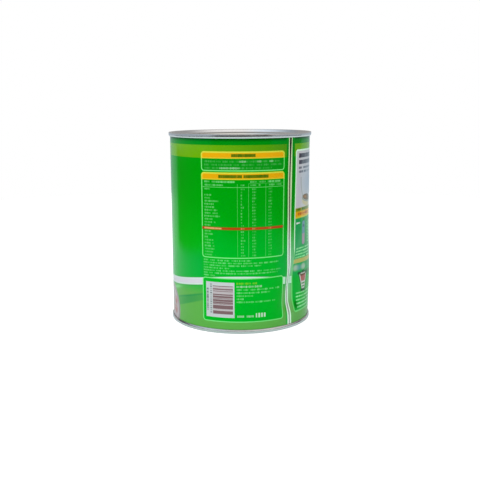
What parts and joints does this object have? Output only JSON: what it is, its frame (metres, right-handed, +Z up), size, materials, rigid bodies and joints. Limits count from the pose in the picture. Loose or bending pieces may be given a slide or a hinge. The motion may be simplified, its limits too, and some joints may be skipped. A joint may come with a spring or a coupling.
{
  "type": "chocolate malt drink tin",
  "caption": "Round printed tinplate drink tin with seamed ends and a press-in lever lid, green wall with blank print panels, dented beside its side weld.",
  "frame": {"origin": "centre of the circle that the tin stands on, at the underside of the base seam", "axes": "+Z up along the tin's own axis, -Y towards the pictured side with the printed tables, +X to that side's right, where the side weld and the dent are"},
  "size_m": [0.1012, 0.1012, 0.134],
  "materials": {
    "printed_wall": "gloss",
    "tinplate": "satin",
    "lid_plate": "satin"
  },
  "bodies": {
    "root": {"can_body": "printed_wall", "bottom_end": "tinplate", "top_ring": "tinplate", "lever_lid": "lid_plate"}
  },
  "joints": []
}
